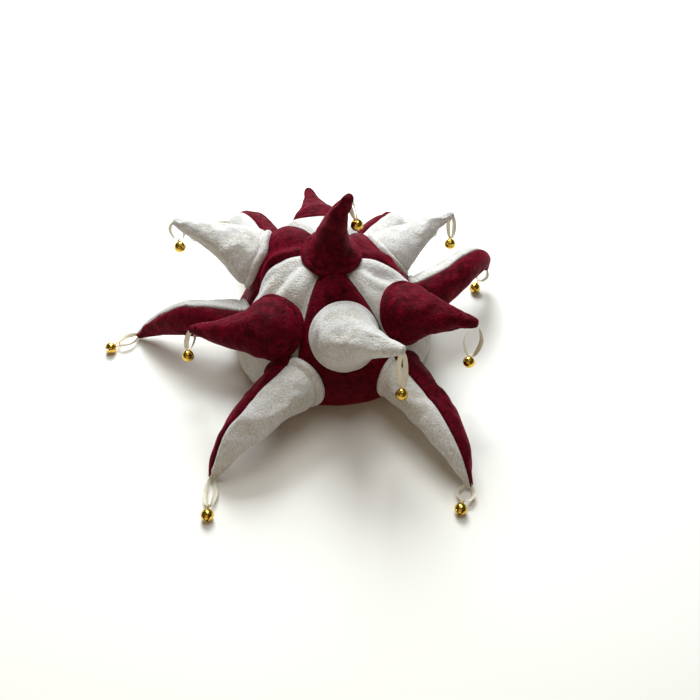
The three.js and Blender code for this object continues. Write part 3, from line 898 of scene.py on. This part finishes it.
def velour(name, high, low, crush, contrast, sheen, tint, roughness, rub):
    """Pile cloth that darkens where its pile lies away, mottled between a light and a deep colour. The light
    maroon is partly painted sheen, and the deep maroon and the deep white are partly painted shade. Rubbed
    places have a share of the light one.
    """
    material, tree, shader, coordinates = blank(name)
    pile = used(tree, "Crushed pile", {"Vector": coordinates, "Crush scale": crush, "Contrast": contrast})
    # The base colour's mottle is real crush and tuft tone, and partly painted sheen and painted shade.
    base = mixed(tree, pile["Lie and painted light"], low, high)
    rubbed = [a * rub + b * (1 - rub) for a, b in zip(high, low)]
    looks = {
        "Base Color": mixed(tree, rubbed_places(tree, coordinates, 0.7), base, rubbed),
        "Roughness": mapped(tree, pile["Lie and painted light"], 0.0, 1.0, *roughness),
        "Sheen Weight": sheen,
        "Sheen Roughness": 0.38,
        "Sheen Tint": (*tint, 1.0),
        "Specular IOR Level": 0.05,
    }
    feed(tree, shader, looks)
    raised(tree, shader, pile["Height"], 0.75, 0.0005)
    return material


# The light maroon stands partly for painted sheen, and the near-black deep maroon partly for painted shade.
def maroon_velour(name, colours):
    tint = (0.8, 0.008, 0.07)
    return velour(name, colours.maroon, colours.maroon_deep_and_painted_shade, 130.0, 0.4, 0.38, tint, (0.7, 0.5), 0.25)


# The tan of the deep white is partly painted shade.
def white_velour(name, colours):
    tint = (0.95, 0.96, 1.0)
    return velour(name, colours.white, colours.white_deep_and_painted_shade, 60.0, 0.72, 0.35, tint, (0.85, 0.75), 0.5)


def satin(name, colours):
    """Satin ribbon with fine warp lines along it."""
    material, tree, shader, coordinates = blank(name)
    lines = {"Vector": node(tree, "TexCoord").outputs["UV"], "Scale": 9.0, "Distortion": 0.6, "Detail": 1.0}
    warp = node(tree, "TexWave", lines, bands_direction="X").outputs[1]
    tone = worked(tree, "MULTIPLY_ADD", warp, 0.35, rubbed_places(tree, coordinates, 0.6, 160.0))
    looks = {
        "Base Color": mixed(tree, tone, colours.satin, darker(colours.satin, 0.72)),
        "Roughness": mapped(tree, tone, 0.0, 1.0, 0.26, 0.45),
        "Anisotropic": 0.4,
        "Sheen Weight": 0.15,
    }
    feed(tree, shader, looks)
    raised(tree, shader, warp, 0.3, 0.0001)
    return material


def lining(name, colours):
    """Plain woven lining."""
    material, tree, shader, coordinates = blank(name)
    rubbed = rubbed_places(tree, coordinates, 0.5)
    shade = mixed(tree, rubbed, colours.lining, darker(colours.lining, 0.85))
    feed(tree, shader, {"Base Color": shade, "Roughness": 0.85})
    weave = node(tree, "TexVoronoi", {"Vector": coordinates, "Scale": 900.0})
    raised(tree, shader, weave.outputs[0], 0.4, 0.0003)
    return material


def gold(name, colours):
    """Polished plated metal with faint tarnish."""
    material, tree, shader, coordinates = blank(name)
    rubbed = rubbed_places(tree, coordinates, 0.8, 420.0)
    looks = {
        "Base Color": mixed(tree, rubbed, colours.gold, darker(colours.gold, 0.6)),
        "Roughness": mapped(tree, rubbed, 0.0, 1.0, 0.12, 0.34),
        "Metallic": 1.0,
    }
    feed(tree, shader, looks)
    raised(tree, shader, rubbed, 0.15, 0.0001)
    return material


# The material of each slot, under a name of its own. The lining is the crown's second material.
LOOKS = {
    "maroon_velour": ("Maroon pile", maroon_velour),
    "white_velour": ("White pile", white_velour),
    "satin_ribbon": ("Cream satin", satin),
    "gold_bell": ("Polished gold", gold),
    "lining": ("Plain lining", lining),
}


def look(key):
    """A material of the hat, which is made on its first use."""
    name, make = LOOKS[key]
    return bpy.data.materials.get(name) or make(name, bpy.context.scene.jester_colours)


# Operators


class JESTERHAT_OT_stage(bpy.types.Operator):
    """Set the camera, the soft lights and the pale floor"""

    bl_idname = "jesterhat.stage"
    bl_label = "Set the stage"

    def execute(self, context):
        stage, scene = context.scene.jester_stage, context.scene
        data = bpy.data.cameras.new("camera")
        data.lens, data.sensor_width = stage.lens, 36
        camera = bpy.data.objects.new("camera", data)
        back = Vector((0, -cos(stage.elevation), sin(stage.elevation)))
        camera.location = Vector(stage.aim) + back * stage.distance
        camera.rotation_euler = (pi / 2 - stage.elevation, 0, 0)
        scene.collection.objects.link(camera)
        scene.camera = camera
        self.light(scene, "key", (-0.15, 1.05, 1.1), 0.8, stage.key, (0.87, 0.94, 1.0))
        self.light(scene, "top", (0.1, 0.2, 1.6), 1.0, stage.key * 0.3, (0.93, 0.97, 1.0))
        self.light(scene, "fill", (-0.3, -1.25, 0.72), 1.2, stage.fill, (1.0, 0.66, 0.33))
        world = bpy.data.worlds.new("studio")
        world.use_nodes = True
        background = world.node_tree.nodes["Background"]
        background.inputs["Color"].default_value = (1.0, 0.99, 0.97, 1.0)
        background.inputs["Strength"].default_value = stage.sky
        scene.world = world
        bm = bmesh.new()
        bmesh.ops.create_grid(bm, x_segments=1, y_segments=1, size=4.0)
        floor = object_of("floor", bm)
        bm.free()
        material, tree, shader, coordinates = blank("floor")
        tone = scene.jester_colours.floor
        shade = mixed(tree, rubbed_places(tree, coordinates, 0.2, 3.0), tone, darker(tone, 0.98))
        feed(tree, shader, {"Base Color": shade, "Roughness": 0.7})
        floor.data.materials.append(material)
        floor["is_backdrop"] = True
        scene.view_settings.view_transform = "Standard"
        return {"FINISHED"}

    def light(self, scene, name, place, size, power, tint):
        data = bpy.data.lights.new(name, "AREA")
        data.size, data.energy, data.color = size, power, tint
        lamp = bpy.data.objects.new(name, data)
        lamp.location = place
        lamp.rotation_euler = (Vector((0, 0, 0.06)) - Vector(place)).to_track_quat("-Z", "Y").to_euler()
        scene.collection.objects.link(lamp)


class JESTERHAT_OT_crown(bpy.types.Operator):
    """Sew the six panels of the crown"""

    bl_idname = "jesterhat.crown"
    bl_label = "Sew the crown"

    def execute(self, context):
        (crown,) = settings(context.scene, "crown")
        for number, name in enumerate(PANELS):
            bm = grid(crown.across, crown.up, lambda x, y, n=number: self.spot(crown, n, x, y))
            bmesh.ops.recalc_face_normals(bm, faces=bm.faces)
            if sum(f.normal.dot(f.calc_center_median() * LEVEL) for f in bm.faces) < 0:
                bmesh.ops.reverse_faces(bm, faces=bm.faces)
            panel = finish_mesh("cloth_panel_" + name, bm, "panel_" + name, CLOTHS[number % 2], "lining")
            shell = {"thickness": crown.cloth, "offset": -1, "material_offset": 1, "use_even_offset": False}
            modifier(panel, "SOLIDIFY", **shell)
            rounded(panel)
        return {"FINISHED"}

    def spot(self, crown, number, x, y):
        """A corner of a panel, with more faces near the seams."""
        across = between(x - SEAM_PULL * sin(tau * x), EDGE, 1 - EDGE)
        arc = outline(crown, y)[0] * radians(PANEL_ARC)
        dip = crown.seam_depth * bump(min(across, 1 - across) * arc, crown.seam_width)
        hem = crown.cloth * 0.5 * bump(y * OUTLINE_RATE, HEM_HEIGHT)
        apart = (0.5 - across) * SEAM_GAP / max(arc, 0.001)
        return crown_point(crown, number + between(across + apart, EDGE, 1 - EDGE), y, -dip - hem, fine=True)


class JESTERHAT_OT_points(bpy.types.Operator):
    """Stuff the six points and the spike on top"""

    bl_idname = "jesterhat.points"
    bl_label = "Stuff the points"

    def execute(self, context):
        crown, stuffing = settings(context.scene, "crown", "stuffing")
        tree = crown_tree(crown)
        for number, name in enumerate(PANELS):
            route = point_route(crown, stuffing, name)
            radius = stuffing.point_radius * POINTS[name][4]
            bm = stuffed(tree, route, POINT_SECTIONS, radius, stuffing, number * 3.1)
            bm = pushed_out(bm, name, stuffing)
            point = finish_mesh("stuffed_point_" + name, bm, "point_" + name, CLOTHS[(number + 1) % 2])
            rounded(point)
        route = spike_route(crown, stuffing)
        radius = stuffing.spike_radius
        bm = stuffed(tree, route, SPIKE_SECTIONS, radius, stuffing, 31.0, seams=(pi / 2,), lump=SPIKE_LUMP)
        bm = pushed_out(bm, "spike", stuffing)
        spike = finish_mesh("stuffed_spike", bm, "spike_top", "maroon_velour")
        rounded(spike)
        return {"FINISHED"}


class JESTERHAT_OT_horns(bpy.types.Operator):
    """Stuff the six two-colour horns round the rim"""

    bl_idname = "jesterhat.horns"
    bl_label = "Stuff the horns"

    def execute(self, context):
        crown, stuffing = settings(context.scene, "crown", "stuffing")
        tree = crown_tree(crown)
        for number, name in enumerate(HORNS):
            route = horn_route(crown, stuffing, name)
            radius = stuffing.horn_radius * HORNS[name][4]
            twist = radians(HORNS[name][3])
            roll = HEAVY_ROLL if name == "front_left" else HORN_ROLL
            seed = 50 + number * 2.3
            bm = stuffed(tree, route, HORN_SECTIONS, radius, stuffing, seed, -twist, (0, pi), roll)
            bm = pushed_out(bm, "horn_" + name, stuffing)
            halves = list(zip(("red", "white"), CLOTHS))
            for sign, (half_name, slot) in zip((1, -1), halves if number % 2 else reversed(halves)):
                half = self.half(bm, route, sign)
                node_name = f"horn_{name}_{half_name}"
                piece = finish_mesh("stuffed_" + node_name, half, node_name, slot)
                rounded(piece)
            bm.free()
        return {"FINISHED"}

    def half(self, whole, route, sign):
        """The half of a horn on one side of its two seams, closed along them."""
        bm = whole.copy()
        layer = bm.faces.layers.int["half"]
        others = [f for f in bm.faces if len(f.verts) > 4 or f[layer] != sign]
        bmesh.ops.delete(bm, geom=others, context="FACES")

        rim = [e for e in bm.edges if e.is_boundary]
        tucked = bmesh.ops.extrude_edge_only(bm, edges=rim)["geom"]
        spine = [route.at(i / 60) for i in range(-12, 62)]
        for v in (v for v in tucked if isinstance(v, bmesh.types.BMVert)):
            near = min(spine, key=lambda spot: (spot - v.co).length_squared)
            v.co += (near - v.co) * min(1, TUCK / max((near - v.co).length, EDGE))
        bmesh.ops.holes_fill(bm, edges=[e for e in bm.edges if e.is_boundary], sides=0)
        bmesh.ops.recalc_face_normals(bm, faces=bm.faces)
        return bm


class JESTERHAT_OT_ribbons(bpy.types.Operator):
    """Loop a satin ribbon from each tip"""

    bl_idname = "jesterhat.ribbons"
    bl_label = "Loop the ribbons"

    def execute(self, context):
        crown, stuffing, trim = settings(context.scene, "crown", "stuffing", "trim")
        for name in DROPS:
            drop = hung(crown, stuffing, trim, name)
            bm = grid(4, 72, lambda x, y, d=drop: self.spot(trim, d, x, y), with_uv=True)
            ribbon = finish_mesh("satin_" + name, bm, "ribbon_" + name, "satin_ribbon")
            modifier(ribbon, "SOLIDIFY", thickness=trim.ribbon_thick, offset=0)
            rounded(ribbon)
        return {"FINISHED"}

    def spot(self, trim, drop, x, y):
        """A corner of a ribbon: x runs across it and y from its one end to the other."""
        last = len(drop.route) - 1
        at, ahead = through(drop.route, y * last)
        side = drop.wide - ahead * drop.wide.dot(ahead)
        strand = min(y, 1 - y) * 2
        turn = drop.twists[0 if y < 0.5 else 1] * sin(pi * strand) ** 1.5
        side = Quaternion(ahead, radians(turn)) @ side.normalized()
        row = min(int(y * last), last - 1)
        wide = drop.widths[row] + (drop.widths[row + 1] - drop.widths[row]) * (y * last - row)
        cup = ahead.cross(side) * (abs(x - 0.5) ** 2 - 0.08) * wide * 0.45
        return at + side * (x - 0.5) * wide * trim.ribbon_width + cup * trim.ribbon_width


def through(spots, along):
    """A place on a smooth line through some spots, and the way ahead there."""
    number = min(int(along), len(spots) - 2)
    part = along - number
    b, c = spots[number], spots[number + 1]
    a = spots[number - 1] if number else b * 2 - c
    d = spots[number + 2] if number + 2 < len(spots) else c * 2 - b
    knots = [0.0]
    pairs = ((a, b), (b, c), (c, d))
    for p, q in pairs:
        knots.append(knots[-1] + max((q - p).length, 1e-6) ** 0.5)

    def spot(t):
        def blend(p, q, low, high):
            return p.lerp(q, (t - low) / (high - low))

        ab, bc, cd = (blend(p, q, knots[i], knots[i + 1]) for i, (p, q) in enumerate(pairs))
        return blend(blend(ab, bc, knots[0], knots[2]), blend(bc, cd, knots[1], knots[3]), knots[1], knots[2])

    t = knots[1] + (knots[2] - knots[1]) * part
    step = (knots[2] - knots[1]) * 0.02
    return spot(t), (spot(t + step) - spot(t - step)).normalized()


def hung(crown, stuffing, trim, name):
    """Where a ribbon loop and its bell hang or lie."""
    span, lie, dip, opened, loose, *twists = DROPS[name]
    route = tip_route(crown, stuffing, name)
    tip = route.at(1)
    ahead = heading(lie, -dip)
    across = heading(opened, 0)
    across = (across - ahead * across.dot(ahead)).normalized()
    middle = 2 * trim.shank_radius + trim.bell_radius - trim.shank_wire
    foot_to_bell = middle - trim.shank_wire - trim.gap - RIBBON_ROOM
    bell = tip + ahead * (span * trim.strand + foot_to_bell)
    bell.z = max(bell.z, trim.bell_radius)
    foot = bell - ahead * foot_to_bell
    hang = loose * trim.strand
    out = [tip.lerp(foot, down) - across * (trim.ends + apart * hang) for down, apart, _ in LOOP]
    home = [tip.lerp(foot, down) + across * (trim.ends + apart * hang) for down, apart, _ in reversed(LOOP)]
    sewn = tip - route.ahead(1) * trim.sewn
    spots = [sewn - across * trim.ends, *out, foot, *home, sewn + across * trim.ends]
    half = [LOOP[0][2], *(row[2] for row in LOOP)]
    return SimpleNamespace(
        ahead=ahead,
        across=across,
        wide=ahead.cross(across),
        route=spots,
        widths=[*half, LOOP[-1][2], *reversed(half)],
        twists=twists,
        shank=bell - ahead * middle,
        middle=middle,
    )


class JESTERHAT_OT_bells(bpy.types.Operator):
    """Hang a round bell on each ribbon"""

    bl_idname = "jesterhat.bells"
    bl_label = "Hang the bells"

    def execute(self, context):
        crown, stuffing, trim = settings(context.scene, "crown", "stuffing", "trim")
        pattern = self.bell(trim)
        for name in DROPS:
            drop = hung(crown, stuffing, trim, name)
            bm = pattern.copy()
            turned = Matrix((drop.across, -drop.wide, -drop.ahead)).transposed().to_4x4()
            bmesh.ops.transform(bm, matrix=Matrix.Translation(drop.shank) @ turned, verts=bm.verts)
            bell = finish_mesh("gold_bell_" + name, bm, "bell_" + name, "gold_bell")
            bell.data.set_sharp_from_angle(angle=radians(38))
        pattern.free()
        return {"FINISHED"}

    def bell(self, trim):
        """One bell below its wire shank, the middle of the wire's crown at the origin."""
        shell, slots = self.shell(trim), self.slots(trim)
        ball, cuts = object_of("ball", shell), object_of("cuts", slots)
        shell.free()
        slots.free()
        modifier(ball, "BOOLEAN", operation="DIFFERENCE", object=cuts, solver="EXACT", use_self=True)
        bm = bmesh.new()
        bm.from_mesh(ball.evaluated_get(bpy.context.evaluated_depsgraph_get()).data)
        dropped(ball)
        dropped(cuts)
        middle = 2 * trim.shank_radius + trim.bell_radius - trim.shank_wire
        bmesh.ops.translate(bm, vec=(0, 0, -middle), verts=bm.verts)
        self.add_shank(bm, trim)
        return bm

    def shell(self, trim):
        """The hollow ball with its ridge."""
        bm = bmesh.new()
        bmesh.ops.create_uvsphere(bm, u_segments=40, v_segments=28, radius=trim.bell_radius)
        for v in bm.verts:
            v.co += v.co.normalized() * trim.bell_ridge * bump(v.co.z, RIDGE_WIDTH)
        inside = trim.bell_radius - trim.bell_wall
        inner = bmesh.ops.create_uvsphere(bm, u_segments=28, v_segments=20, radius=inside)
        bmesh.ops.reverse_faces(bm, faces=list({f for v in inner["verts"] for f in v.link_faces}))
        return bm

    def slots(self, trim):
        """Two crossed slots with round ends, as the bodies that are cut out of the ball."""
        bm = bmesh.new()
        low = -trim.bell_radius * SLOT_DROP
        reach = trim.bell_radius * SLOT_REACH
        hole = {"radius1": trim.bell_hole, "radius2": trim.bell_hole, "depth": trim.bell_radius}
        for turn in (pi / 4, -pi / 4):
            turned = Matrix.Rotation(turn, 4, "Z")
            box = bmesh.ops.create_cube(bm, size=1)["verts"]
            stretch = Matrix.Diagonal((trim.bell_slot, reach * 2, trim.bell_radius, 1))
            bmesh.ops.transform(bm, matrix=turned @ Matrix.Translation((0, 0, low)) @ stretch, verts=box)
            for end in (-reach, reach):
                round_end = bmesh.ops.create_cone(bm, cap_ends=True, segments=14, **hole)["verts"]
                bmesh.ops.transform(bm, matrix=turned @ Matrix.Translation((0, end, low)), verts=round_end)
        return bm

    def add_shank(self, bm, trim):
        """The wire loop above the ball."""
        ring = bmesh.ops.create_circle(bm, segments=10, radius=trim.shank_wire)["verts"]
        bmesh.ops.transform(bm, matrix=Matrix.Translation((0, trim.shank_radius, 0)), verts=ring)
        edges = list({e for v in ring for e in v.link_edges})
        full_turn = {"axis": (1, 0, 0), "cent": (0, 0, 0), "angle": tau, "steps": 24, "use_merge": True}
        bmesh.ops.spin(bm, geom=ring + edges, **full_turn)
        wide, thick = trim.shank_radius * 1.3, trim.shank_wire * 1.5
        hoop = [v for v in bm.verts if hypot(v.co.y, v.co.z) < wide and abs(v.co.x) < thick]
        bmesh.ops.translate(bm, vec=(0, 0, -trim.shank_radius), verts=hoop)
        bmesh.ops.remove_doubles(bm, verts=bm.verts, dist=EDGE)


class JESTERHAT_PT_sidebar(bpy.types.Panel):
    """The hat's sizes, colours and steps"""

    bl_idname = "JESTERHAT_PT_sidebar"
    bl_label = "Jester hat"
    bl_space_type = "VIEW_3D"
    bl_region_type = "UI"
    bl_category = "Jester hat"

    def draw(self, context):
        for step in STEPS:
            self.layout.operator(step.bl_idname)
        for group in GROUPS:
            box = self.layout.box()
            settings = getattr(context.scene, group)
            box.label(text=settings.bl_rna.description)
            for name in settings.__annotations__:
                box.prop(settings, name)


GROUPS = {
    "jester_crown": JesterCrown,
    "jester_stuffing": JesterStuffing,
    "jester_trim": JesterTrim,
    "jester_colours": JesterColours,
    "jester_stage": JesterStage,
}
STEPS = (
    JESTERHAT_OT_stage,
    JESTERHAT_OT_crown,
    JESTERHAT_OT_points,
    JESTERHAT_OT_horns,
    JESTERHAT_OT_ribbons,
    JESTERHAT_OT_bells,
)
CLASSES = (*GROUPS.values(), *STEPS, JESTERHAT_PT_sidebar)


def register():
    for made in CLASSES:
        bpy.utils.register_class(made)
    for name, group in GROUPS.items():
        setattr(bpy.types.Scene, name, PointerProperty(type=group))


def unregister():
    for name in GROUPS:
        delattr(bpy.types.Scene, name)
    for made in reversed(CLASSES):
        bpy.utils.unregister_class(made)


def main():
    register()
    bpy.ops.jesterhat.stage()
    bpy.ops.jesterhat.crown()
    bpy.ops.jesterhat.points()
    bpy.ops.jesterhat.horns()
    bpy.ops.jesterhat.ribbons()
    bpy.ops.jesterhat.bells()
    boxes = {"cad": CAD_BOX, "visual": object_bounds()}
    {name: [list(corner) for corner in box] for name, box in boxes.items()}


if __name__ == "__main__":
    main()
